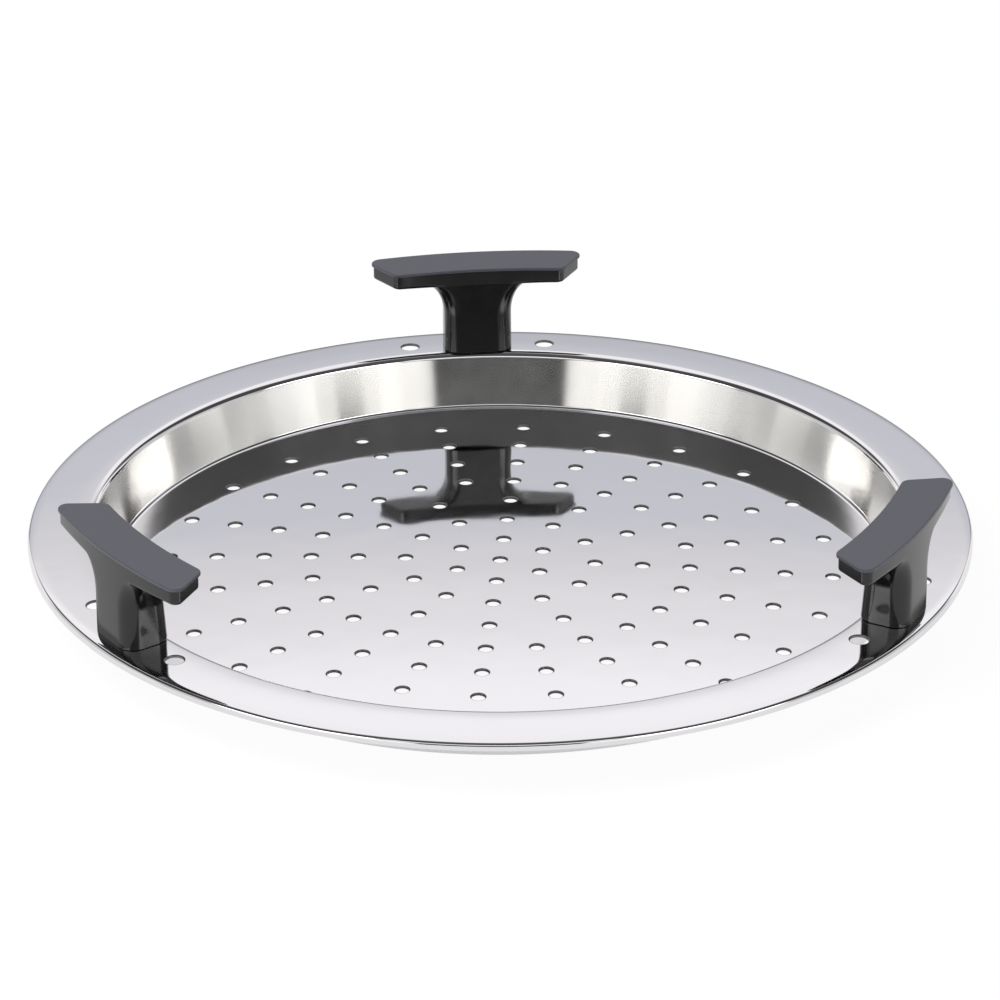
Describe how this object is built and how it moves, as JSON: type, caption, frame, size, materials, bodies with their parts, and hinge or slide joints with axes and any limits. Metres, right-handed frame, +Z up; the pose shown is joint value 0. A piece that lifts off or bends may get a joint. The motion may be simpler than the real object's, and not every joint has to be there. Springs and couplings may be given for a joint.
{
  "type": "perforated steamer plate",
  "caption": "Shallow round perforated steamer plate in polished stainless sheet, with a wide flange that sits on a kadai's rim and black T handles standing on the flange.",
  "frame": {"origin": "on the plate's axis, at the level of the flat ring under the floor that it rests on", "axes": "+Z up along the plate's axis, out of the dish; +Y towards the back handle; +X to the right in the picture"},
  "size_m": [0.28, 0.28, 0.0457],
  "materials": {
    "polished_stainless": "polished bright",
    "black_phenolic": "moulded, half gloss",
    "satin_charcoal_cap": "satin",
    "brass": "turned",
    "stainless_fixing": "plain",
    "spring_steel": "plain"
  },
  "bodies": {
    "root": {"steamer_plate": "polished_stainless", "back_handle": "black_phenolic", "back_handle_cap": "satin_charcoal_cap", "back_handle_insert": "brass", "back_handle_washer": "stainless_fixing", "back_handle_spring_washer": "spring_steel", "back_handle_screw": "stainless_fixing", "left_handle": "black_phenolic", "left_handle_cap": "satin_charcoal_cap", "left_handle_insert": "brass", "left_handle_washer": "stainless_fixing", "left_handle_spring_washer": "spring_steel", "left_handle_screw": "stainless_fixing", "right_handle": "black_phenolic", "right_handle_cap": "satin_charcoal_cap", "right_handle_insert": "brass", "right_handle_washer": "stainless_fixing", "right_handle_spring_washer": "spring_steel", "right_handle_screw": "stainless_fixing"}
  },
  "joints": []
}
